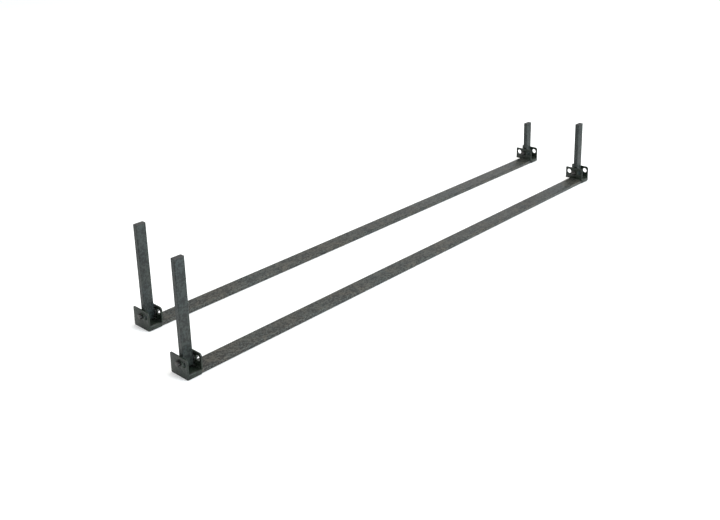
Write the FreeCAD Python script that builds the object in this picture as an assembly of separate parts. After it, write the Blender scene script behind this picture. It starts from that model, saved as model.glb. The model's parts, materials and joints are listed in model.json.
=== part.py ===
"""Ladder rack: two flat crossbars, each with a folding post at both ends.

Frame: +X runs along the crossbars from the tall posts to the short ones, +Y runs from the
front bar to the rear bar and +Z is up. The origin is under the middle of the whole rack, on
the surface that the bars rest on. All lengths are in millimetres.

Each corner is built once, as the left end of a bar. There x is the distance inboard from the
outside face of the outer plate, y = 0 is the middle of the plates and of the post, and z = 0
is the underside of the bar. A right-hand corner is the same set of pieces, mirrored.
"""
import FreeCAD, Part
import math
import os

# --- Crossbars: flat steel tube ---
BAR_LENGTH = 1800.0
BAR_WIDTH = 50.0
BAR_HEIGHT = 12.0
BAR_WALL = 2.0
BAR_CORNER_RADIUS = 3.0
BAR_SPACING = 270.0            # front face to front face
BAR_STAGGER = 80.0             # the rear bar is set this far along +X

# --- Threaded inserts in the underside of the bars, for the mounting bolts ---
INSERT_DIAMETER = 14.0
INSERT_THREAD_DIAMETER = 8.0
INSERT_INSET = 70.0            # end of the bar to the first insert
INSERT_PITCH = 50.0
INSERTS_PER_END = 2

# --- Plates: one covers the bar's end, one stands on the bar ---
PLATE_THICKNESS = 4.0
PLATE_RISE = 41.0              # top of the bar to the top of the plates
PLATE_REAR_OVERHANG = 14.0     # how far the plates reach past the bar's rear face
PLATE_FRONT_TOP_RADIUS = 8.0
PLATE_REAR_TOP_RADIUS = 2.5
PLATE_FOOT_RADIUS = 3.0
EAR_HOLE_DIAMETER = 16.0
EAR_HOLE_EDGE = 13.0           # centre of the hole to the plate's side edge
EAR_HOLE_DROP = 15.0           # centre of the hole to the plate's top edge
WELD_LEG = 3.0
WELD_END_MARGIN = 2.0

# --- Saddle: a folded plate over the bar, between the two upright plates ---
SADDLE_THICKNESS = 2.0
SADDLE_LEG_LIFT = 1.0          # underside of the bar to the lower edge of the saddle's legs

# --- Posts: rectangular steel tube that folds about a cross bolt ---
POST_WIDTH = 30.0              # along X
POST_DEPTH = 15.0              # along Y
POST_WALL = 1.5
POST_CORNER_RADIUS = 2.5
POST_TAIL = 15.5               # pivot axis to the post's lower end
POST_TOPS = {                  # underside of the bar to the top of the cap
    "front_left": 300.0,
    "rear_left": 288.0,
    "front_right": 216.0,
    "rear_right": 154.0,
}

# --- Post caps: moulded plugs ---
CAP_FLANGE = 2.5
CAP_FLANGE_CHAMFER = 0.8
CAP_PLUG_DEPTH = 12.0
CAP_PLUG_WALL = 1.5
CAP_PLUG_CLEARANCE = 0.1

# --- Pivot ---
PIVOT_RISE = 23.0              # top of the bar to the pivot axis
BOLT_DIAMETER = 8.0
BOLT_LENGTH = 60.0
BOLT_HEAD_HEIGHT = 5.3
BOLT_TIP_CHAMFER = 0.8
HEX_ACROSS_FLATS = 13.0
HEX_CHAMFER_ANGLE = 30.0
NUT_HEX_HEIGHT = 6.0
NUT_COLLAR_HEIGHT = 2.0
NUT_COLLAR_DIAMETER = 11.6
WASHER_DIAMETER = 16.0
WASHER_THICKNESS = 1.6
BOLT_HOLE_CLEARANCE = 0.2      # radial, in the plates and in every washer
BUSHING_DIAMETER = 12.0
BUSHING_CLEARANCE = 0.05       # radial, running fit on the bolt
SPACER_WASHER_DIAMETER = 20.0
SPACER_WASHER_THICKNESS = 3.0
SIDE_CLEARANCE = 0.1           # post to spacer washer, each side

# --- Worked out from the values above ---
PLATE_WIDTH = SADDLE_THICKNESS + BAR_WIDTH + PLATE_REAR_OVERHANG
PLATE_TOP = BAR_HEIGHT + PLATE_RISE
PLATE_GAP = POST_WIDTH + 2 * (SPACER_WASHER_THICKNESS + SIDE_CLEARANCE)
INNER_PLATE_X = PLATE_THICKNESS + PLATE_GAP
BRACKET_LENGTH = INNER_PLATE_X + PLATE_THICKNESS
POST_X = PLATE_THICKNESS + PLATE_GAP / 2
PIVOT_Z = BAR_HEIGHT + PIVOT_RISE
EAR_HOLE_Y = PLATE_WIDTH / 2 - EAR_HOLE_EDGE
EAR_HOLE_Z = PLATE_TOP - EAR_HOLE_DROP
BAR_CENTRE_Y = (SADDLE_THICKNESS - PLATE_REAR_OVERHANG) / 2
BOLT_RADIUS = BOLT_DIAMETER / 2
BOLT_HOLE_RADIUS = BOLT_RADIUS + BOLT_HOLE_CLEARANCE

X_AXIS = FreeCAD.Vector(1, 0, 0)
Y_AXIS = FreeCAD.Vector(0, 1, 0)
Z_AXIS = FreeCAD.Vector(0, 0, 1)


def cylinder(radius, length, start, axis):
    """A cylinder that begins at start and runs along axis."""
    return Part.makeCylinder(radius, length, FreeCAD.Vector(*start), axis)


def ring(outer_radius, inner_radius, length, start, axis):
    """A cylinder with a hole through it."""
    return cylinder(outer_radius, length, start, axis).cut(cylinder(inner_radius, length, start, axis))


def edges_along(shape, axis, wanted=lambda point: True):
    """The straight edges that run along axis and whose middle passes the wanted test."""
    found = []
    for edge in shape.Edges:
        start = edge.Vertexes[0].Point
        run = edge.Vertexes[-1].Point.sub(start)
        if run.cross(axis).Length < 1e-6 and wanted(start.add(run.multiply(0.5))):
            found.append(edge)
    return found


def box(low, high):
    """A box between two corners."""
    size = FreeCAD.Vector(*high).sub(FreeCAD.Vector(*low))
    return Part.makeBox(size.x, size.y, size.z, FreeCAD.Vector(*low))


def rounded_box(low, high, radius, axis):
    """A box whose four edges along axis are rounded."""
    block = box(low, high)
    return block.makeFillet(radius, edges_along(block, axis))


def tube(low, high, wall, radius, axis):
    """A rectangular tube along axis, open at both ends."""
    inset = FreeCAD.Vector(1, 1, 1).sub(axis).multiply(wall)
    inner_low = FreeCAD.Vector(*low).add(inset)
    inner_high = FreeCAD.Vector(*high).sub(inset)
    outside = rounded_box(low, high, radius, axis)
    return outside.cut(rounded_box(inner_low, inner_high, radius - wall, axis))


def hexagon(height, start_x, centre_z):
    """A hexagonal prism along X with its outer corners turned off at start_x."""
    corner_radius = HEX_ACROSS_FLATS / math.sqrt(3)
    corners = []
    for turn in range(7):
        angle = math.radians(60 * turn)
        y = corner_radius * math.cos(angle)
        z = centre_z + corner_radius * math.sin(angle)
        corners.append(FreeCAD.Vector(start_x, y, z))
    prism = Part.Face(Part.makePolygon(corners)).extrude(X_AXIS * height)
    slope = math.tan(math.radians(HEX_CHAMFER_ANGLE))
    end_radius = HEX_ACROSS_FLATS / 2 * 0.97
    base = FreeCAD.Vector(start_x, 0, centre_z)
    turned = Part.makeCone(end_radius, end_radius + height / slope, height, base, X_AXIS)
    return prism.common(turned)


def insert_places():
    """Distances from the bar's middle, along the bar, of all its threaded inserts."""
    first = BAR_LENGTH / 2 - INSERT_INSET
    reach = [first - INSERT_PITCH * step for step in range(INSERTS_PER_END)]
    return [side * distance for side in (-1, 1) for distance in reach]


def crossbar():
    """The flat tube, centred on x = 0, with a hole in its underside for every insert."""
    half = BAR_LENGTH / 2
    low = (-half, BAR_CENTRE_Y - BAR_WIDTH / 2, 0)
    high = (half, BAR_CENTRE_Y + BAR_WIDTH / 2, BAR_HEIGHT)
    bar = tube(low, high, BAR_WALL, BAR_CORNER_RADIUS, X_AXIS)
    for x in insert_places():
        bar = bar.cut(cylinder(INSERT_DIAMETER / 2, BAR_WALL, (x, BAR_CENTRE_Y, 0), Z_AXIS))
    return bar


def mounting_inserts():
    """Threaded bosses set in the underside of the bar, as deep as the inside of its top wall."""
    depth = BAR_HEIGHT - BAR_WALL
    bosses = []
    for x in insert_places():
        bosses.append(ring(INSERT_DIAMETER / 2, INSERT_THREAD_DIAMETER / 2, depth,
                           (x, BAR_CENTRE_Y, 0), Z_AXIS))
    return Part.makeCompound(bosses)


def plate(x, foot_z, foot_radius, ears_with_holes):
    """One upright plate with a pivot hole in the middle and tie-down holes in its ears."""
    half = PLATE_WIDTH / 2
    blank = box((x, -half, foot_z), (x + PLATE_THICKNESS, half, PLATE_TOP))
    corners = [(PLATE_FRONT_TOP_RADIUS, -1, 1), (PLATE_REAR_TOP_RADIUS, 1, 1)]
    if foot_radius:
        corners += [(foot_radius, -1, -1), (foot_radius, 1, -1)]
    for radius, side, end in corners:
        def at_corner(point):
            return point.y * side > 0 and (point.z - PIVOT_Z) * end > 0
        blank = blank.makeFillet(radius, edges_along(blank, X_AXIS, at_corner))
    holes = [(0, PIVOT_Z, BOLT_HOLE_RADIUS)]
    for side in ears_with_holes:
        holes.append((side * EAR_HOLE_Y, EAR_HOLE_Z, EAR_HOLE_DIAMETER / 2))
    for y, z, radius in holes:
        blank = blank.cut(cylinder(radius, PLATE_THICKNESS, (x, y, z), X_AXIS))
    return blank


def outer_plate():
    """Closes the bar's end and stands up outside the post; only its front ear has a hole."""
    return plate(0, 0, PLATE_FOOT_RADIUS, (-1,))


def inner_plate():
    """Stands on top of the bar, inside the post, with a hole in both ears."""
    return plate(INNER_PLATE_X, BAR_HEIGHT, 0, (-1, 1))


def saddle():
    """Covers the top, front and rear of the bar between the two plates."""
    front = BAR_CENTRE_Y - BAR_WIDTH / 2
    rear = BAR_CENTRE_Y + BAR_WIDTH / 2
    low = (PLATE_THICKNESS, front - SADDLE_THICKNESS, SADDLE_LEG_LIFT)
    high = (INNER_PLATE_X, rear + SADDLE_THICKNESS, BAR_HEIGHT + SADDLE_THICKNESS)
    folded = box(low, high)
    top_edges = edges_along(folded, X_AXIS, lambda point: point.z > BAR_HEIGHT)
    folded = folded.makeFillet(BAR_CORNER_RADIUS + SADDLE_THICKNESS, top_edges)
    inside = rounded_box((0, front, 0), (BRACKET_LENGTH, rear, BAR_HEIGHT),
                         BAR_CORNER_RADIUS, X_AXIS)
    return folded.cut(inside).cut(box((0, front, 0), (BRACKET_LENGTH, rear, BAR_CORNER_RADIUS)))


def fillet_weld(corner, length, run, leg_a, leg_b):
    """A weld bead in a corner: two legs on the metal and a face that bulges a little."""
    toe_a = corner.add(leg_a * WELD_LEG)
    toe_b = corner.add(leg_b * WELD_LEG)
    crown = corner.add((leg_a + leg_b) * (WELD_LEG * 0.58))
    outline = [
        Part.LineSegment(corner, toe_a).toShape(),
        Part.Arc(toe_a, crown, toe_b).toShape(),
        Part.LineSegment(toe_b, corner).toShape(),
    ]
    return Part.Face(Part.Wire(outline)).extrude(run * length)


def plate_welds():
    """The beads that join both plates to the saddle, and the inner plate to the bar."""
    length = BAR_WIDTH - 2 * (BAR_CORNER_RADIUS + WELD_END_MARGIN)
    start_y = BAR_CENTRE_Y - length / 2
    saddle_top = BAR_HEIGHT + SADDLE_THICKNESS
    places = (
        (PLATE_THICKNESS, saddle_top, 1),
        (INNER_PLATE_X, saddle_top, -1),
        (BRACKET_LENGTH, BAR_HEIGHT, 1),
    )
    beads = []
    for x, z, side in places:
        corner = FreeCAD.Vector(x, start_y, z)
        beads.append(fillet_weld(corner, length, Y_AXIS, X_AXIS * side, Z_AXIS))
    return Part.makeCompound(beads)


def post(top):
    """The folding tube, with a hole through both sides for its pivot bushing."""
    half_x = POST_WIDTH / 2
    half_y = POST_DEPTH / 2
    low = (POST_X - half_x, -half_y, PIVOT_Z - POST_TAIL)
    high = (POST_X + half_x, half_y, top - CAP_FLANGE)
    body = tube(low, high, POST_WALL, POST_CORNER_RADIUS, Z_AXIS)
    return body.cut(cylinder(BUSHING_DIAMETER / 2, POST_WIDTH, (low[0], 0, PIVOT_Z), X_AXIS))


def post_cap(top):
    """A plug whose flange is as large as the tube and whose skirt goes inside it."""
    half_x = POST_WIDTH / 2
    half_y = POST_DEPTH / 2
    seat = top - CAP_FLANGE
    flange = rounded_box((POST_X - half_x, -half_y, seat), (POST_X + half_x, half_y, top),
                         POST_CORNER_RADIUS, Z_AXIS)
    rim = [edge for edge in flange.Edges if min(v.Z for v in edge.Vertexes) > top - 0.01]
    flange = flange.makeChamfer(CAP_FLANGE_CHAMFER, rim)
    plug_x = half_x - POST_WALL - CAP_PLUG_CLEARANCE
    plug_y = half_y - POST_WALL - CAP_PLUG_CLEARANCE
    corner = POST_CORNER_RADIUS - POST_WALL - CAP_PLUG_CLEARANCE
    low = (POST_X - plug_x, -plug_y, seat - CAP_PLUG_DEPTH)
    plug = rounded_box(low, (POST_X + plug_x, plug_y, seat), corner, Z_AXIS)
    hollow_low = (low[0] + CAP_PLUG_WALL, low[1] + CAP_PLUG_WALL, low[2])
    hollow_high = (POST_X + plug_x - CAP_PLUG_WALL, plug_y - CAP_PLUG_WALL, seat)
    return flange.fuse(plug.cut(box(hollow_low, hollow_high))).removeSplitter()


def pivot_bushing():
    """A steel sleeve across the post that turns on the bolt."""
    start = (POST_X - POST_WIDTH / 2, 0, PIVOT_Z)
    return ring(BUSHING_DIAMETER / 2, BOLT_RADIUS + BUSHING_CLEARANCE, POST_WIDTH, start, X_AXIS)


def spacer_washers():
    """Thick plastic rings, one on the inside of each plate, that the post turns against."""
    rings = []
    for x in (PLATE_THICKNESS, INNER_PLATE_X - SPACER_WASHER_THICKNESS):
        rings.append(ring(SPACER_WASHER_DIAMETER / 2, BOLT_HOLE_RADIUS,
                          SPACER_WASHER_THICKNESS, (x, 0, PIVOT_Z), X_AXIS))
    return Part.makeCompound(rings)


def flat_washers():
    """The washers under the bolt's head and under its nut."""
    rings = []
    for x in (-WASHER_THICKNESS, BRACKET_LENGTH):
        rings.append(ring(WASHER_DIAMETER / 2, BOLT_HOLE_RADIUS, WASHER_THICKNESS,
                          (x, 0, PIVOT_Z), X_AXIS))
    return Part.makeCompound(rings)


def pivot_bolt():
    """A hexagon bolt through both plates and the post, its head outside the outer plate."""
    seat = -WASHER_THICKNESS
    head = hexagon(BOLT_HEAD_HEIGHT, seat - BOLT_HEAD_HEIGHT, PIVOT_Z)
    shank = cylinder(BOLT_RADIUS, BOLT_LENGTH, (seat, 0, PIVOT_Z), X_AXIS)
    tip = [edge for edge in shank.Edges if edge.BoundBox.XMin > seat + BOLT_LENGTH - 0.01]
    return head.fuse(shank.makeChamfer(BOLT_TIP_CHAMFER, tip)).removeSplitter()


def lock_nut():
    """A hexagon nut with a round collar, which holds a plastic ring, on its far end."""
    seat = BRACKET_LENGTH + WASHER_THICKNESS
    height = NUT_HEX_HEIGHT + NUT_COLLAR_HEIGHT
    turned = hexagon(NUT_HEX_HEIGHT, 0, PIVOT_Z).mirror(FreeCAD.Vector(0, 0, 0), X_AXIS)
    turned.translate(X_AXIS * (seat + NUT_HEX_HEIGHT))
    collar = cylinder(NUT_COLLAR_DIAMETER / 2, height, (seat, 0, PIVOT_Z), X_AXIS)
    return turned.fuse(collar).cut(cylinder(BOLT_RADIUS, height, (seat, 0, PIVOT_Z), X_AXIS))


def corner_pieces(top):
    """Every piece at one end of a bar, in the left-hand position."""
    return {
        "outer_plate": outer_plate(),
        "inner_plate": inner_plate(),
        "saddle": saddle(),
        "plate_welds": plate_welds(),
        "post": post(top),
        "post_cap": post_cap(top),
        "pivot_bushing": pivot_bushing(),
        "spacer_washers": spacer_washers(),
        "flat_washers": flat_washers(),
        "pivot_bolt": pivot_bolt(),
        "lock_nut": lock_nut(),
    }


def export(shape, node):
    """Check a node's solids and write them."""
    for solid in shape.Solids:
        if not solid.isValid() or solid.Volume <= 0:
            raise ValueError(node + " has a bad solid")
    shape.exportStep("parts/" + node + ".step")
    print(node, len(shape.Solids), round(shape.Volume, 1))


os.makedirs("parts", exist_ok=True)
overall_half = BAR_LENGTH / 2 + PLATE_THICKNESS
for row, sign in (("front", -1), ("rear", 1)):
    centre_x = sign * BAR_STAGGER / 2
    centre_y = sign * BAR_SPACING / 2
    middle = FreeCAD.Vector(centre_x, centre_y, 0)
    for name, shape in (("crossbar", crossbar()), ("mounting_inserts", mounting_inserts())):
        shape.translate(middle)
        export(shape, row + "_" + name)
    for hand, outward in (("left", -1), ("right", 1)):
        corner = row + "_" + hand
        for name, shape in corner_pieces(POST_TOPS[corner]).items():
            if hand == "right":
                shape = shape.mirror(FreeCAD.Vector(0, 0, 0), X_AXIS)
            shape.translate(FreeCAD.Vector(centre_x + outward * overall_half, centre_y, 0))
            export(shape, corner + "_" + name)
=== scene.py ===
# %% [markdown]
# # A ladder rack, built around its CAD frame
#
# The real thing is two flat steel crossbars. Each end of each bar carries two upright plates
# joined by a folded saddle over the bar, and a rectangular post stands between the plates on a
# cross bolt, so it can fold down flat.
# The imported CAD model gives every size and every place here. What is left for Blender is what
# a drawing leaves out: softened edges, weld ripples, threads, moulded caps and the finishes.

# %% Load the frame
import json
import math

import bmesh
import bpy
import numpy as np
from mathutils import Matrix, Vector

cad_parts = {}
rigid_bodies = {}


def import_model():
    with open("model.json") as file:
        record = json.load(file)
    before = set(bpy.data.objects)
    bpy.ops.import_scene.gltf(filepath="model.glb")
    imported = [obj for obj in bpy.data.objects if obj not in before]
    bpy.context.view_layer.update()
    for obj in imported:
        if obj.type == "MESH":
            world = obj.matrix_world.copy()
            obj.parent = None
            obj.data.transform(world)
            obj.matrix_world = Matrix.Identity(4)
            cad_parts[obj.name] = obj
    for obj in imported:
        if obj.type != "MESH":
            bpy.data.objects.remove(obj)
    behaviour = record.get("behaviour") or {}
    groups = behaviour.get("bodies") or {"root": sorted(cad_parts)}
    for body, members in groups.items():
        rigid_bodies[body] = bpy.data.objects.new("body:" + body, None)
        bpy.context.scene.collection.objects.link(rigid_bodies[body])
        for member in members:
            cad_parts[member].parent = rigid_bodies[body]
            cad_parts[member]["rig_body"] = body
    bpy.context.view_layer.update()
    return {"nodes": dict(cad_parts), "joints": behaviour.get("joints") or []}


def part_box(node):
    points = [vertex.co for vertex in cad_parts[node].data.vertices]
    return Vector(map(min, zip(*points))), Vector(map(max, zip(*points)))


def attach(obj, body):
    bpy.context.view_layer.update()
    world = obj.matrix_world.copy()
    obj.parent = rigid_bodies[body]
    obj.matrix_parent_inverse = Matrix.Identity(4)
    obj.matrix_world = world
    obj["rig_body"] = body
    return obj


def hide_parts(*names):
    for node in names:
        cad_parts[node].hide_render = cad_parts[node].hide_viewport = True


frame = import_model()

MM = 0.001
ROWS = ("front", "rear")
CORNERS = {"front_left": -1, "front_right": 1, "rear_left": -1, "rear_right": 1}
ROOT = "crossbars"

pivots = {joint["child"][:-len("_post")]: Vector(joint["pos_m"]) for joint in frame["joints"]}

# %% [markdown]
# ## Shader maths that reads like maths
#
# A material in Blender is a graph of nodes, and a sum written as nodes is hard to read. The
# small class below wraps one socket, so that `1 - mask * 0.3` adds the Math nodes itself. The
# second class is one material: it has a single method that adds any other kind of node.

# %% The socket class and the material class
class Wire:
    """A node's output socket; arithmetic on it adds Math nodes to the same material."""

    def __init__(self, finish, socket):
        self.finish = finish
        self.socket = socket

    def maths(self, operation, first, second):
        return self.finish.node("ShaderNodeMath", {"operation": operation}, {0: first, 1: second})

    def __add__(self, other):
        return self.maths("ADD", self, other)

    def __mul__(self, other):
        return self.maths("MULTIPLY", self, other)

    def __sub__(self, other):
        return self.maths("SUBTRACT", self, other)

    def __rsub__(self, other):
        return self.maths("SUBTRACT", other, self)

    __radd__ = __add__
    __rmul__ = __mul__


class Finish:
    """One material: a Principled shader, and whatever nodes are wired into it."""

    def __init__(self, name, **sockets):
        self.material = bpy.data.materials.new(name)
        self.material.use_nodes = True
        self.tree = self.material.node_tree
        self.shader = self.tree.nodes["Principled BSDF"]
        self.place = self.node("ShaderNodeTexCoord", output="Object")
        for socket, value in sockets.items():
            self.set(socket.replace("_", " ").title().replace("Ior", "IOR"), value)

    def feed(self, socket, value):
        if isinstance(value, Wire):
            self.tree.links.new(value.socket, socket)
        else:
            socket.default_value = value

    def set(self, socket, value):
        self.feed(self.shader.inputs[socket], value)

    def node(self, kind, settings=None, sockets=None, output=0):
        """Adds a node: its settings first, then its sockets; gives back one output."""
        made = self.tree.nodes.new(kind)
        for setting, value in (settings or {}).items():
            setattr(made, setting, value)
        for socket, value in (sockets or {}).items():
            self.feed(made.inputs[socket], value)
        return Wire(self, made.outputs[output])

    def noise(self, size, detail=3.0, roughness=0.5, stretch=(1, 1, 1)):
        """Cloudy noise from 0 to 1 whose blobs are about size metres across."""
        at = self.node("ShaderNodeMapping", {}, {"Vector": self.place, "Scale": stretch})
        sockets = {"Vector": at, "Scale": 1 / size, "Detail": detail, "Roughness": roughness}
        return self.node("ShaderNodeTexNoise", {}, sockets, "Fac")

    def between(self, low, high, value):
        """value pulled from low..high out to 0..1, and held there."""
        sockets = {"Value": value, "From Min": low, "From Max": high}
        return self.node("ShaderNodeMapRange", {"interpolation_type": "SMOOTHSTEP"}, sockets)

    def mix(self, amount, first, second):
        """A colour that goes from first to second as amount goes from 0 to 1."""
        made = self.tree.nodes.new("ShaderNodeMix")
        made.data_type = "RGBA"
        self.feed(made.inputs[0], amount)
        self.feed(made.inputs[6], first)
        self.feed(made.inputs[7], second)
        return Wire(self, made.outputs[2])

    def bump(self, height, distance):
        """A normal that follows height, which stands for distance metres where it is 1."""
        return self.node("ShaderNodeBump", {}, {"Height": height, "Distance": distance})


def grey(level, warm=0.0):
    """A nearly neutral colour: warm is how much red gains and blue loses."""
    return (level * (1 + warm), level, level * (1 - warm), 1.0)


print("shader classes ready")

# %% [markdown]
# ## Charcoal powder coat
#
# Bars, plates, posts and welds all get the same kind of coat: bars and posts in charcoal, the
# brackets nearly black with a little green. That darkness is partly a darker coat and partly
# painted shade, for the shade that falls on and between the plates. The powder melts into a skin
# that is never quite flat: a fine orange peel a millimetre or so across. Its tone is speckled,
# warm in some places and cool in others. Its edges are painted lighter: partly the coat thinning
# where it runs away from an edge, and partly a painted highlight where an edge catches the light.
# Separate noises of separate sizes do each job, so each can be tuned alone. The Bevel node's
# normal differs from the surface's own normal only near an edge, which finds the edges with no
# texture to paint.

# %% Make the powder coat
PEEL_SIZE = 1.6 * MM
PEEL_HEIGHT = 0.04 * MM
GRAIN_SIZE = 0.45 * MM
SPECK_SIZE = 5 * MM
MARK_SIZE = 6 * MM
MOTTLE_SIZE = 24 * MM
CLOUD_SIZE = 180 * MM
EDGE_REACH = 0.9 * MM


def edge_mask(finish, reach):
    """0 on a flat face, rising to 1 at an edge: one minus how far two normals agree."""
    rounded = finish.node("ShaderNodeBevel", {"samples": 6}, {"Radius": reach}, "Normal")
    plain = finish.node("ShaderNodeNewGeometry", {}, {}, "Normal")
    agree = finish.node("ShaderNodeVectorMath", {"operation": "DOT_PRODUCT"},
                        {0: rounded, 1: plain}, "Value")
    return finish.between(0.02, 0.28, 1 - agree)


def tint(level, colour):
    """A colour of the given brightness: colour holds a factor for red, green and blue."""
    return (level * colour[0], level * colour[1], level * colour[2], 1.0)


def powder_coat(name, stretch, base, warm, cool, contrast):
    """The coat. Its handling marks are drawn out along one axis by stretch."""
    coat = Finish(name, ior=1.4)
    speck = coat.noise(SPECK_SIZE, 3.0, 0.65)
    mottle = coat.noise(MOTTLE_SIZE, 4.0, 0.62)
    cloud = coat.noise(CLOUD_SIZE, 2.0)
    grain = coat.noise(GRAIN_SIZE, 2.0)
    marks = coat.between(0.56, 0.78, coat.noise(MARK_SIZE, 3.0, 0.6, stretch))
    edge = edge_mask(coat, EDGE_REACH) * coat.between(0.35, 0.65, mottle)
    hue = coat.between(0.35, 0.65, mottle * 0.55 + cloud * 0.45)
    tone = coat.between(0.42, 0.58, speck * 0.75 + mottle * 0.25)
    dark = coat.mix(hue, tint(base * (1 - contrast), cool), tint(base * (1 - contrast), warm))
    light = coat.mix(hue, tint(base * (1 + contrast), cool), tint(base * (1 + contrast), warm))
    body = coat.mix(tone, dark, light)
    speckled = coat.mix(coat.between(0.6, 0.8, grain) * 0.35, body, tint(base * 2, cool))
    rubbed = coat.mix(marks * 0.2, speckled, tint(base * 1.8, warm))
    # Edges go lighter here: partly the coat thinning at the edge, partly a painted highlight where
    # an edge catches the light.
    coat.set("Base Color", coat.mix(edge * 0.5, rubbed, tint(base * 2.8, cool)))
    coat.set("Roughness", 0.4 + mottle * 0.12 + marks * 0.08 - edge * 0.08)
    peel = coat.noise(PEEL_SIZE, 1.5) + grain * 0.18
    coat.set("Normal", coat.bump(peel, PEEL_HEIGHT))
    return coat.material


bar_coat = powder_coat("charcoal_coat_along_bar", (0.05, 1, 1), 0.034,
                       (1.09, 1.0, 0.8), (0.84, 1.04, 0.98), 0.8)
post_coat = powder_coat("charcoal_coat_along_post", (1, 1, 0.08), 0.021,
                        (0.88, 1.06, 0.94), (0.74, 1.08, 1.08), 0.6)
# The bracket coat's base is about a third of the bar coat's: partly a darker coat, partly painted
# shade for the shade in and between the brackets.
bracket_coat_with_painted_shade = powder_coat("bracket_coat_darkened_with_painted_shade", (0.6, 1, 1), 0.0115,
                         (0.8, 1.12, 0.72), (0.6, 1.25, 0.8), 0.6)
print("powder coats", [coat.name for coat in (bar_coat, post_coat, bracket_coat_with_painted_shade)])

# %% [markdown]
# ## Metal and plastic for the small parts
#
# The bolts, nuts and flat washers are black-oxide steel: dark, a little brown, with an oily
# sheen that varies in patches. The inserts and bushings inside are zinc plated, which is pale
# with a faint crystal pattern. The caps, the spacer rings beside each post and the ring in each
# lock nut are black plastic with a spark-eroded grain.

# %% Make the small parts' finishes
CRYSTAL_SIZE = 1.8 * MM


def black_oxide():
    """Dark steel: oily patches in colour and gloss over fine machining scratches."""
    steel = Finish("black_oxide_steel", metallic=0.9)
    patch = steel.noise(3.5 * MM, 4.0, 0.6)
    scratch = steel.noise(0.4 * MM, 3.0, 0.6, (0.08, 1, 1))
    edge = edge_mask(steel, 0.35 * MM)
    dark = steel.mix(steel.between(0.35, 0.7, patch), grey(0.04, -0.04), grey(0.085, 0.1))
    steel.set("Base Color", steel.mix(edge * 0.6, dark, grey(0.22, 0.02)))
    steel.set("Roughness", 0.3 + patch * 0.16 + scratch * 0.1)
    steel.set("Normal", steel.bump(scratch + patch * 0.4, 0.01 * MM))
    return steel.material


def zinc_plate():
    """Bright zinc: cells of slightly different grey, like small crystals."""
    zinc = Finish("zinc_plate", metallic=1.0)
    cell = zinc.node("ShaderNodeTexVoronoi", {},
                     {"Vector": zinc.place, "Scale": 1 / CRYSTAL_SIZE}, "Color")
    level = zinc.node("ShaderNodeSeparateColor", {}, {"Color": cell}, "Red")
    haze = zinc.noise(5 * MM, 4.0)
    tone = level * 0.5 + haze * 0.3
    zinc.set("Base Color", zinc.mix(tone, grey(0.48, -0.03), grey(0.68, -0.01)))
    zinc.set("Roughness", 0.24 + haze * 0.2 + level * 0.06)
    zinc.set("Normal", zinc.bump(level + haze, 0.006 * MM))
    return zinc.material


def moulded_black():
    """Black polyethylene with an even grain and a faint bloom in soft patches."""
    plastic = Finish("moulded_black_plastic", ior=1.5)
    grain = plastic.noise(0.35 * MM, 2.0, 0.6)
    bloom = plastic.noise(9 * MM, 3.0)
    haze = plastic.between(0.4, 0.75, bloom)
    plastic.set("Base Color", plastic.mix(haze, grey(0.016, -0.02), grey(0.034, 0.02)))
    plastic.set("Roughness", 0.5 + grain * 0.16 + haze * 0.08)
    plastic.set("Normal", plastic.bump(grain, 0.03 * MM))
    return plastic.material


oxide = black_oxide()
zinc = zinc_plate()
plastic = moulded_black()
print("small finishes", oxide.name, zinc.name, plastic.name)

# %% [markdown]
# ## From a grid of points to a closed mesh
#
# Every new piece here is one surface: a grid of points with one direction along the piece and
# the other around it. numpy works the whole grid out at once, and one helper turns it into a
# mesh. Where a row shrinks to a point, as at the tip of a bolt, its doubles are merged, and the
# normals are then made to point outwards.

# %% The grid helper
def place_piece(name, mesh, body, material, replaced=()):
    """Puts a finished mesh in the scene, on its body, with its finish."""
    piece = bpy.data.objects.new(name, mesh)
    bpy.context.scene.collection.objects.link(piece)
    mesh.materials.clear()
    mesh.materials.append(material)
    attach(piece, body)
    if replaced:
        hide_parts(*replaced)
    return piece


def grid_faces(rows, around, wrap_rows):
    """Corner numbers of the quads between neighbouring rows; the grid wraps around."""
    last = rows if wrap_rows else rows - 1
    row, step = np.meshgrid(np.arange(last), np.arange(around), indexing="ij")
    next_row = (row + 1) % rows
    next_step = (step + 1) % around
    quads = [row * around + step, next_row * around + step,
             next_row * around + next_step, row * around + next_step]
    return np.stack(quads, axis=-1).reshape(-1, 4)


def grid_mesh(name, grids, wrap_rows=False, smooth_angle=40):
    """One mesh from grids of shape (rows, around, 3), in metres, closed and facing out."""
    build = bmesh.new()
    for grid in grids:
        rows, around = grid.shape[:2]
        scratch = bpy.data.meshes.new("scratch")
        faces = grid_faces(rows, around, wrap_rows)
        scratch.from_pydata(grid.reshape(-1, 3).tolist(), [], faces.tolist())
        build.from_mesh(scratch)
        bpy.data.meshes.remove(scratch)
    bmesh.ops.remove_doubles(build, verts=build.verts, dist=1e-7)
    bmesh.ops.recalc_face_normals(build, faces=build.faces)
    mesh = bpy.data.meshes.new(name)
    build.to_mesh(mesh)
    build.free()
    mesh.shade_smooth()
    mesh.set_sharp_from_angle(angle=math.radians(smooth_angle))
    return mesh


def turned(stations, centre, outward, around=72, limit=None, thread=None):
    """A turned surface about X.

    stations is a list of (x, radius). The point at row u and angle v is
    centre + (outward * x(u), r cos v, r sin v), where r is the row's radius, or limit(v) if
    that is less, or less again where thread(x, v) cuts a groove.
    """
    x, radius = np.array(stations, float).T
    angle = np.linspace(0, 2 * np.pi, around, endpoint=False)
    r = np.repeat(radius[:, None], around, axis=1)
    if limit is not None:
        r = np.minimum(r, limit(angle)[None, :])
    if thread is not None:
        r = np.minimum(r, thread(x[:, None], angle[None, :]))
    points = np.stack([np.repeat(outward * x[:, None], around, axis=1),
                       r * np.cos(angle), r * np.sin(angle)], axis=-1)
    return points * MM + np.array(centre)


print("grid helpers ready")

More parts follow.
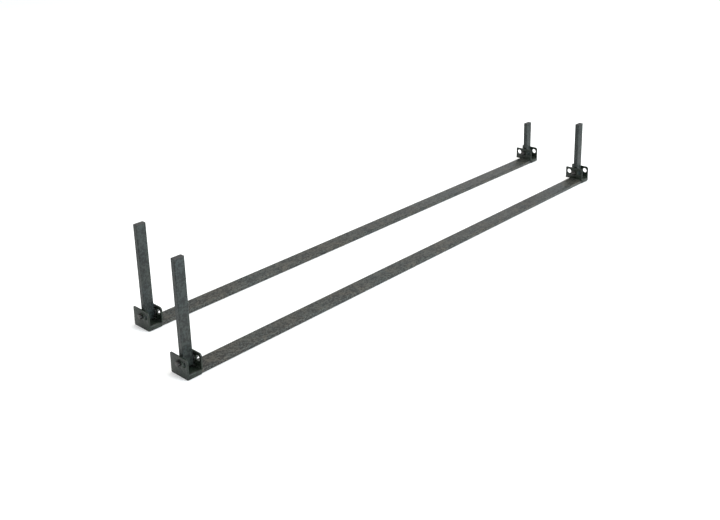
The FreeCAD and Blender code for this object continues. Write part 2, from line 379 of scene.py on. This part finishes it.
# %% [markdown]
# ## Bars, plates and posts with real edges
#
# The CAD shapes of these are right, but their edges are perfectly sharp, and a sharp edge
# never catches the light. Sawn tube and laser-cut plate have edges that are broken with a file
# and then covered by the coat. So each one is copied, its loose triangles are merged, flat
# regions are joined into single faces, and a Bevel modifier rounds every edge that turns more
# than 30 degrees. Remodelling them by hand would only repeat what the CAD already says.

# %% Soften the edges of the cut steel
FLAT_TURN = math.radians(0.5)
SHARP_TURN = math.radians(30)


def soften(node, radius, material):
    """A copy of a CAD node with its sharp edges rounded to radius millimetres."""
    build = bmesh.new()
    build.from_mesh(frame["nodes"][node].data)
    bmesh.ops.remove_doubles(build, verts=build.verts, dist=1e-6)
    bmesh.ops.dissolve_limit(build, angle_limit=FLAT_TURN, verts=build.verts, edges=build.edges)
    mesh = bpy.data.meshes.new(node + "_soft")
    build.to_mesh(mesh)
    build.free()
    mesh.shade_smooth()
    piece = place_piece(node + "_soft", mesh, frame["nodes"][node]["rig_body"],
                        material, [node])
    bevel = piece.modifiers.new("edges", "BEVEL")
    bevel.width = radius * MM
    bevel.segments = 2
    bevel.limit_method = "ANGLE"
    bevel.angle_limit = SHARP_TURN
    bevel.harden_normals = True


TUBE_EDGE = 0.35
PLATE_EDGE = 0.6
SADDLE_EDGE = 0.4
for row in ROWS:
    soften(row + "_crossbar", TUBE_EDGE, bar_coat)
for corner in CORNERS:
    soften(corner + "_post", TUBE_EDGE, post_coat)
    soften(corner + "_outer_plate", PLATE_EDGE, bracket_coat_with_painted_shade)
    soften(corner + "_inner_plate", PLATE_EDGE, bracket_coat_with_painted_shade)
    # The saddle between the plates takes the dark bracket coat; there its darkness is painted shade
    # for the shade the plates cast on the bar.
    soften(corner + "_saddle", SADDLE_EDGE, bracket_coat_with_painted_shade)
print("softened", len(ROWS) + 4 * len(CORNERS), "pieces")

# %% [markdown]
# ## Hexagon bolts and lock nuts
#
# A bolt head starts as hexagon bar, and a lathe then turns its corners off at 30 degrees. In
# numbers, the radius at any angle is the smaller of the hexagon's radius there and the cone's
# radius, so one `minimum` gives the curved edges that a real head has. The thread is the same
# idea: a groove whose depth follows a triangle wave of the distance along the bolt minus the
# turn around it.

# %% Measure the fasteners and write the hexagon and the thread
bolt_low, bolt_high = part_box("front_left_pivot_bolt")
nut_low, nut_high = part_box("front_left_lock_nut")
washer_low, washer_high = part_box("front_left_flat_washers")
ring_low, ring_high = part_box("front_left_spacer_washers")

ACROSS_FLATS = (bolt_high.z - bolt_low.z) / MM
CORNER_RADIUS = ACROSS_FLATS / math.sqrt(3)
BOLT_RADIUS = 4.0
BOLT_LENGTH = (bolt_high.x - washer_low.x) / MM
HEAD_HEIGHT = (washer_low.x - bolt_low.x) / MM
THREAD_PITCH = 1.25
THREAD_DEPTH = 0.77
THREADED = 16.0


def hexagon(angle):
    """Radius of a hexagon at each angle, with a corner on the Y axis."""
    return ACROSS_FLATS / 2 / np.cos(np.mod(angle, np.pi / 3) - np.pi / 6)


def thread(x, angle):
    """Radius of the screw: a triangle wave along x that advances one pitch per turn."""
    phase = np.mod(x / THREAD_PITCH - angle / (2 * np.pi), 1)
    wave = np.abs(2 * phase - 1)
    cut = BOLT_RADIUS - THREAD_DEPTH * np.clip(1.15 * wave - 0.08, 0, 1)
    return np.where(x > BOLT_LENGTH - THREADED, cut, 99.0)


def chamfer(start, depth, flat, full, steps=7):
    """Stations of a cone from radius flat out to radius full over depth."""
    share = np.linspace(0, 1, steps)
    return [(start + depth * s, flat + (full - flat) * s) for s in share]


print("bolt", round(BOLT_LENGTH, 1), "head", round(HEAD_HEIGHT, 1),
      "flats", round(ACROSS_FLATS, 1))

# %% Make a bolt, a lock nut and the nut's plastic ring at every corner
FLAT_RADIUS = ACROSS_FLATS / 2 * 0.94
CHAMFER_DEPTH = (CORNER_RADIUS - FLAT_RADIUS) * math.tan(math.radians(30))
NUT_HEIGHT = (nut_high.x - nut_low.x) / MM
NUT_HEX = 6.0
COLLAR_RADIUS = 5.8
COLLAR_ROUND = 0.6
LIP_RADIUS = 5.05
LIP_DEPTH = 0.45
WASHER_FACE = 0.4
NECK = 0.5
TIP_CHAMFER = 0.9
INSERT_THICK = 0.3
INSERT_EDGE = 0.1


def bolt_stations():
    """x is measured from the face that the head's washer face sits on."""
    head = [(-HEAD_HEIGHT, 0), (-HEAD_HEIGHT, FLAT_RADIUS * 0.97)]
    head += chamfer(-HEAD_HEIGHT + 0.08, CHAMFER_DEPTH, FLAT_RADIUS, CORNER_RADIUS)
    head += [(-WASHER_FACE - 0.15, CORNER_RADIUS), (-WASHER_FACE, CORNER_RADIUS * 0.97)]
    head += [(-WASHER_FACE, FLAT_RADIUS), (0, FLAT_RADIUS)]
    thread_start = BOLT_LENGTH - THREADED
    tip_start = BOLT_LENGTH - TIP_CHAMFER
    neck = [(0, BOLT_RADIUS + 0.15), (NECK, BOLT_RADIUS), (thread_start, BOLT_RADIUS)]
    rows = np.arange(thread_start + 0.1, tip_start, THREAD_PITCH / 10)
    tip = chamfer(tip_start, TIP_CHAMFER, BOLT_RADIUS, BOLT_RADIUS - 1.0, 5)
    return head + neck + [(x, BOLT_RADIUS) for x in rows] + tip + [(BOLT_LENGTH, 0)]


def nut_stations():
    """A closed outline: up the outside of the hexagon and collar, then back down the bore."""
    seat = chamfer(0, CHAMFER_DEPTH, FLAT_RADIUS, CORNER_RADIUS)
    top = chamfer(NUT_HEX, -CHAMFER_DEPTH, FLAT_RADIUS, CORNER_RADIUS)[::-1]
    shoulder = [(NUT_HEX, COLLAR_RADIUS + 0.05), (NUT_HEX + 0.15, COLLAR_RADIUS)]
    bend = [(NUT_HEIGHT - COLLAR_ROUND * (1 - math.sin(a)),
             COLLAR_RADIUS - COLLAR_ROUND * (1 - math.cos(a)))
            for a in np.linspace(0, math.pi / 2, 5)]
    lip_floor = NUT_HEIGHT - LIP_DEPTH
    bore_radius = BOLT_RADIUS + 0.02
    lip = [(NUT_HEIGHT, LIP_RADIUS), (lip_floor, LIP_RADIUS)]
    bore = [(lip_floor, bore_radius), (0.5, bore_radius), (0, BOLT_RADIUS + 0.5)]
    return seat + top + shoulder + bend + lip + bore


def ring_stations(inner, outer, start, thick, edge):
    """A flat ring's outline with its four edges rounded by edge."""
    outline = []
    corners = ((start + edge, inner + edge, 180), (start + edge, outer - edge, 90),
               (start + thick - edge, outer - edge, 0), (start + thick - edge, inner + edge, -90))
    for x, r, first in corners:
        for turn in (0, 30, 60, 90):
            angle = math.radians(first + 90 - turn)
            outline.append((x + edge * math.cos(angle), r + edge * math.sin(angle)))
    return outline


grip = (nut_low.x - washer_low.x) / MM
for corner, outward in CORNERS.items():
    head_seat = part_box(corner + "_flat_washers")[0 if outward < 0 else 1].x
    pivot = pivots[corner]
    seat = Vector((head_seat, pivot.y, pivot.z))
    bolt_grid = turned(bolt_stations(), seat, -outward, 96, hexagon, thread)
    mesh = grid_mesh(corner + "_bolt_mesh", [bolt_grid], smooth_angle=28)
    place_piece(corner + "_hex_bolt", mesh, ROOT, oxide, [corner + "_pivot_bolt"])
    nut_seat = seat - Vector((outward * grip * MM, 0, 0))
    nut_grid = turned(nut_stations(), nut_seat, -outward, 96, hexagon)
    mesh = grid_mesh(corner + "_nut_mesh", [nut_grid], wrap_rows=True, smooth_angle=28)
    place_piece(corner + "_nut", mesh, ROOT, oxide, [corner + "_lock_nut"])
    insert = ring_stations(BOLT_RADIUS + 0.01, LIP_RADIUS - 0.02, NUT_HEIGHT - LIP_DEPTH + 0.01,
                           INSERT_THICK, INSERT_EDGE)
    mesh = grid_mesh(corner + "_insert_mesh", [turned(insert, nut_seat, -outward)], wrap_rows=True)
    place_piece(corner + "_nut_insert", mesh, ROOT, plastic)
print("bolts and nuts", len(CORNERS), "grip", round(grip, 2))

# %% [markdown]
# ## Washers and spacer rings
#
# A punched washer has a small rounding on its edges, and a moulded spacer a larger one. Both
# are a small outline turned about the bolt. One node in the CAD holds the pair of washers of a
# corner, so both rings go into one mesh.

# %% Make the rings
WASHER_BORE = 4.2
WASHER_THICK = 1.6
WASHER_EDGE = 0.25
SPACER_THICK = 3.0
SPACER_EDGE = 0.4
washer_size = washer_high - washer_low
ring_size = ring_high - ring_low
jobs = (("flat_washers", "steel_washers", washer_size, WASHER_THICK, WASHER_EDGE, oxide,
         "black_oxide"),
        ("spacer_washers", "spacer_rings", ring_size, SPACER_THICK, SPACER_EDGE, plastic,
         "black_plastic"))
for corner in CORNERS:
    pivot = pivots[corner]
    for node, name, size, thick, edge, material, slot in jobs:
        low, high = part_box(corner + "_" + node)
        stations = ring_stations(WASHER_BORE, size.z / 2 / MM, 0, thick, edge)
        centres = [(low.x, pivot.y, pivot.z), (high.x - thick * MM, pivot.y, pivot.z)]
        grids = [turned(stations, centre, 1) for centre in centres]
        mesh = grid_mesh(corner + "_" + name + "_mesh", grids, wrap_rows=True)
        place_piece(corner + "_" + name, mesh, ROOT, material, [corner + "_" + node])
print("rings", 2 * len(CORNERS))

# %% [markdown]
# ## Post caps
#
# A tube plug is a low crowned lid with a hollow skirt that grips the inside of the tube. It is
# a stack of rounded rectangles: each row has its own half sizes, corner radius and height, and
# walking up the stack goes from the ceiling of the hollow, down its wall, round the skirt, out
# under the lid, up its edge and over the crown. The crown's height falls away with the square
# of the distance from the middle.

# %% Make the caps
LID = 2.5
SKIRT_GAP = 0.1
SKIRT_WALL = 1.5
SKIRT_DEPTH = 12.0
TUBE_WALL = 1.5
TUBE_CORNER = 2.5
LID_EDGE = 0.9
CROWN = 0.7


def rounded_rectangle(half_x, half_y, corner, steps=7):
    """Points round a rectangle whose corners are quarter circles."""
    corner = min(corner, half_x, half_y)
    quarter = np.linspace(0, np.pi / 2, steps)
    points = []
    for turn, (sx, sy) in enumerate(((1, 1), (-1, 1), (-1, -1), (1, -1))):
        angle = quarter + turn * np.pi / 2
        points.append(np.stack([sx * (half_x - corner) + corner * np.cos(angle),
                                sy * (half_y - corner) + corner * np.sin(angle)], axis=-1))
    return np.concatenate(points)


def cap_rows(half_x, half_y):
    """Rows of (inset from the lid's side, corner radius, height above the tube's end)."""
    bore = TUBE_WALL + SKIRT_GAP
    hollow = bore + SKIRT_WALL
    inner_corner = TUBE_CORNER - bore
    rows = [(half_y - 0.01, 0.01, 0), (hollow, 0.3, 0), (hollow, 0.3, -SKIRT_DEPTH + 0.4)]
    rows += [(hollow - 0.3, 0.5, -SKIRT_DEPTH), (bore + 0.4, 0.6, -SKIRT_DEPTH)]
    rows += [(bore, inner_corner, -SKIRT_DEPTH + 1.2), (bore, inner_corner, 0)]
    rows += [(0.15, TUBE_CORNER, 0), (0, TUBE_CORNER, 0.15)]
    edge_top = LID - CROWN
    for angle in np.linspace(0, np.pi / 2, 7):
        inset = LID_EDGE * (1 - math.cos(angle))
        rows.append((inset, TUBE_CORNER - inset * 0.6, edge_top - LID_EDGE * (1 - math.sin(angle))))
    for share in (0.3, 0.5, 0.7, 0.85, 1.0):
        inset = LID_EDGE + (half_y - LID_EDGE) * share * 0.999
        height = edge_top + CROWN * (1 - (1 - share) ** 2)
        rows.append((inset, max(TUBE_CORNER * (1 - share), 0.001), height))
    return rows


for corner in CORNERS:
    low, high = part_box(corner + "_post_cap")
    half_x, half_y = (high.x - low.x) / 2 / MM, (high.y - low.y) / 2 / MM
    middle = np.array([(low.x + high.x) / 2, (low.y + high.y) / 2, high.z - LID * MM])
    rings = []
    for inset, radius, height in cap_rows(half_x, half_y):
        outline = rounded_rectangle(half_x - inset, half_y - inset, radius)
        ring = np.column_stack([outline, np.full(len(outline), height)])
        rings.append(ring * MM + middle)
    ridge_low, ridge_high = rings[0].copy(), rings[-1].copy()
    ridge_low[:, 1] = middle[1]
    ridge_high[:, 1] = middle[1]
    mesh = grid_mesh(corner + "_cap_mesh", [np.array([ridge_low] + rings + [ridge_high])])
    place_piece(corner + "_cap", mesh, corner + "_post", plastic,
                [corner + "_post_cap"])
print("caps", len(CORNERS), "lid", half_x * 2, "by", half_y * 2)

# %% [markdown]
# ## Weld beads
#
# A fillet weld is a row of frozen puddles. Across the bead the surface bulges from one toe to
# the other, and along it each puddle overlaps the last in a curved ripple. The distance from
# the corner to the surface is therefore a bulge times a ripple, and it tapers to nothing at
# both ends, where the welder started and stopped. The ripple's phase runs ahead in the middle
# of the bead, which bends each line into the arc that a moving puddle leaves.

# %% Make the beads
LEG = 3.0
RIPPLE_PITCH = 1.7
RIPPLE_DEPTH = 0.07
RIPPLE_LEAD = 0.45
SINK = 0.12


def bead(start, run, length, leg_a, leg_b, seed):
    """Rows along a weld; in each, the corner and then the surface from toe to toe.

    At a distance s along and an angle f across, the radius is
    leg * (1 - 0.2 sin 2f) * (1 - depth * |sin(pi * (s / pitch + lead))|) * taper(s).
    """
    along = np.linspace(0, length, int(length / RIPPLE_PITCH * 8))
    across = np.linspace(0, np.pi / 2, 11)
    s, f = np.meshgrid(along, across, indexing="ij")
    wander = 0.15 * np.sin(s * 0.9 + seed) + 0.1 * np.sin(s * 2.3 + 2 * seed)
    phase = s / RIPPLE_PITCH - RIPPLE_LEAD * np.sin(2 * f) + wander
    ripple = 1 - RIPPLE_DEPTH * np.abs(np.sin(np.pi * phase))
    to_end = np.clip(np.minimum(s, length - s) / LEG, 0, 1)
    taper = np.sqrt(1 - (1 - to_end) ** 2)
    radius = LEG * (1 - 0.2 * np.sin(2 * f)) * ripple * taper * (1 + 0.04 * np.sin(s * 0.7 + seed))
    run, leg_a, leg_b = (np.array(v, float) for v in (run, leg_a, leg_b))
    corner = np.array(start) / MM - (leg_a + leg_b) * SINK
    spine = corner + along[:, None] * run
    skin = spine[:, None, :] + radius[..., None] * (np.cos(f)[..., None] * leg_a
                                                    + np.sin(f)[..., None] * leg_b)
    return np.concatenate([spine[:, None, :], skin], axis=1) * MM


for number, (corner, outward) in enumerate(CORNERS.items()):
    row = corner.split("_")[0]
    bar_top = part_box(row + "_crossbar")[1].z
    weld_low, weld_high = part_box(corner + "_plate_welds")
    saddle_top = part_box(corner + "_saddle")[1].z
    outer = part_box(corner + "_outer_plate")[1 if outward < 0 else 0].x
    inner_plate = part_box(corner + "_inner_plate")
    near, far = (1, 0) if outward > 0 else (0, 1)
    inboard = -outward
    length = (weld_high.y - weld_low.y) / MM
    spots = ((outer, saddle_top, inboard), (inner_plate[near].x, saddle_top, outward),
             (inner_plate[far].x, bar_top, inboard))
    beads = []
    for spot, (x, z, side) in enumerate(spots):
        beads.append(bead((x, weld_low.y, z), (0, 1, 0), length, (side, 0, 0), (0, 0, 1),
                          number * 1.7 + spot))
    mesh = grid_mesh(corner + "_bead_mesh", beads, smooth_angle=60)
    place_piece(corner + "_weld_beads", mesh, ROOT, bracket_coat_with_painted_shade,
                [corner + "_plate_welds"])
print("beads", 3 * len(CORNERS), "length", round(length, 1))

# %% [markdown]
# ## The pieces that stay as the CAD made them
#
# Threaded inserts and pivot bushings are plain turned steel, and most of each is hidden, so the
# CAD mesh is right as it is and only needs its zinc.

# %% Give the hidden steel its finish
plain = [row + "_mounting_inserts" for row in ROWS]
plain += [corner + "_pivot_bushing" for corner in CORNERS]
for node in plain:
    mesh = frame["nodes"][node].data
    mesh.materials.clear()
    mesh.materials.append(zinc)
print("zinc on", len(plain), "nodes")

# %% [markdown]
# ## Floor, light and camera
#
# A plain pale floor and large soft lights, as for a catalogue. The strongest light comes from
# the front and a little from the right, so front faces are brightest, tops follow and the
# faces that look to the left stay dark, which is what makes flat black parts readable. The
# camera stands above the rack beside its tall end. Its lens is shifted down a little, as a
# product camera's is, so that it points less steeply and the posts lean less.

# %% Floor
FLOOR_HALF = 14.0
FLOOR_DROP = 0.3 * MM
corners = [(-FLOOR_HALF, -FLOOR_HALF), (FLOOR_HALF, -FLOOR_HALF), (FLOOR_HALF, FLOOR_HALF),
           (-FLOOR_HALF, FLOOR_HALF)]
floor_mesh = bpy.data.meshes.new("floor")
floor_mesh.from_pydata([(x, y, -FLOOR_DROP) for x, y in corners], [], [(0, 1, 2, 3)])
floor = bpy.data.objects.new("floor", floor_mesh)
bpy.context.scene.collection.objects.link(floor)
sweep = Finish("pale_floor", roughness=0.85, emission_strength=0.16)
sweep.set("Base Color", sweep.mix(sweep.noise(0.6, 2.0), grey(0.88), grey(0.9)))
sweep.set("Emission Color", grey(1.0))
floor_mesh.materials.append(sweep.material)

# %% Lights
def soft_light(name, place, aim, size, power, colour):
    """A square area light of side size that looks from place to aim."""
    lamp = bpy.data.lights.new(name, "AREA")
    lamp.shape = "SQUARE"
    lamp.size = size
    lamp.energy = power
    lamp.color = colour
    holder = bpy.data.objects.new(name, lamp)
    bpy.context.scene.collection.objects.link(holder)
    holder.location = place
    holder.rotation_euler = (Vector(aim) - Vector(place)).to_track_quat("-Z", "Y").to_euler()


soft_light("key", (1.6, -6.4, 3.4), (0, 0, 0), 3.2, 430, (0.86, 0.95, 1.0))
soft_light("top", (0.6, 0.4, 4.2), (0, 0, 0), 4.0, 85, (1.0, 0.95, 0.84))

world = bpy.data.worlds.new("studio")
world.use_nodes = True
sky = world.node_tree.nodes["Background"].inputs
sky["Color"].default_value = (0.96, 0.98, 1.0, 1)
sky["Strength"].default_value = 0.85
bpy.context.scene.world = world
bpy.context.scene.view_settings.view_transform = "Standard"

# %% Camera
SENSOR_WIDTH = 36
FOCAL_IN_WIDTHS = 1.3183
SHIFT_DOWN_IN_WIDTHS = 0.1667
TURN = math.radians(46.46)
PITCH = math.radians(16.98)
ROLL = math.radians(1.52)
DISTANCE = 4.033
AIM = Vector((0.7163, 0.8357, 0))

lens = bpy.data.cameras.new("camera")
lens.sensor_width = SENSOR_WIDTH
lens.lens = SENSOR_WIDTH * FOCAL_IN_WIDTHS
lens.shift_y = -SHIFT_DOWN_IN_WIDTHS
lens.clip_end = 60
camera = bpy.data.objects.new("camera", lens)
bpy.context.scene.collection.objects.link(camera)
ahead = Vector((math.sin(TURN) * math.cos(PITCH), math.cos(TURN) * math.cos(PITCH),
                -math.sin(PITCH)))
right = Vector((math.cos(TURN), -math.sin(TURN), 0))
up = right.cross(ahead)
rolled_right = right * math.cos(ROLL) - up * math.sin(ROLL)
rolled_up = right * math.sin(ROLL) + up * math.cos(ROLL)
turn = Matrix((rolled_right, rolled_up, -ahead)).transposed().to_4x4()
camera.matrix_world = Matrix.Translation(AIM - ahead * DISTANCE) @ turn
bpy.context.scene.camera = camera
print("camera", [round(v, 3) for v in camera.location], "lens", round(lens.lens, 1))
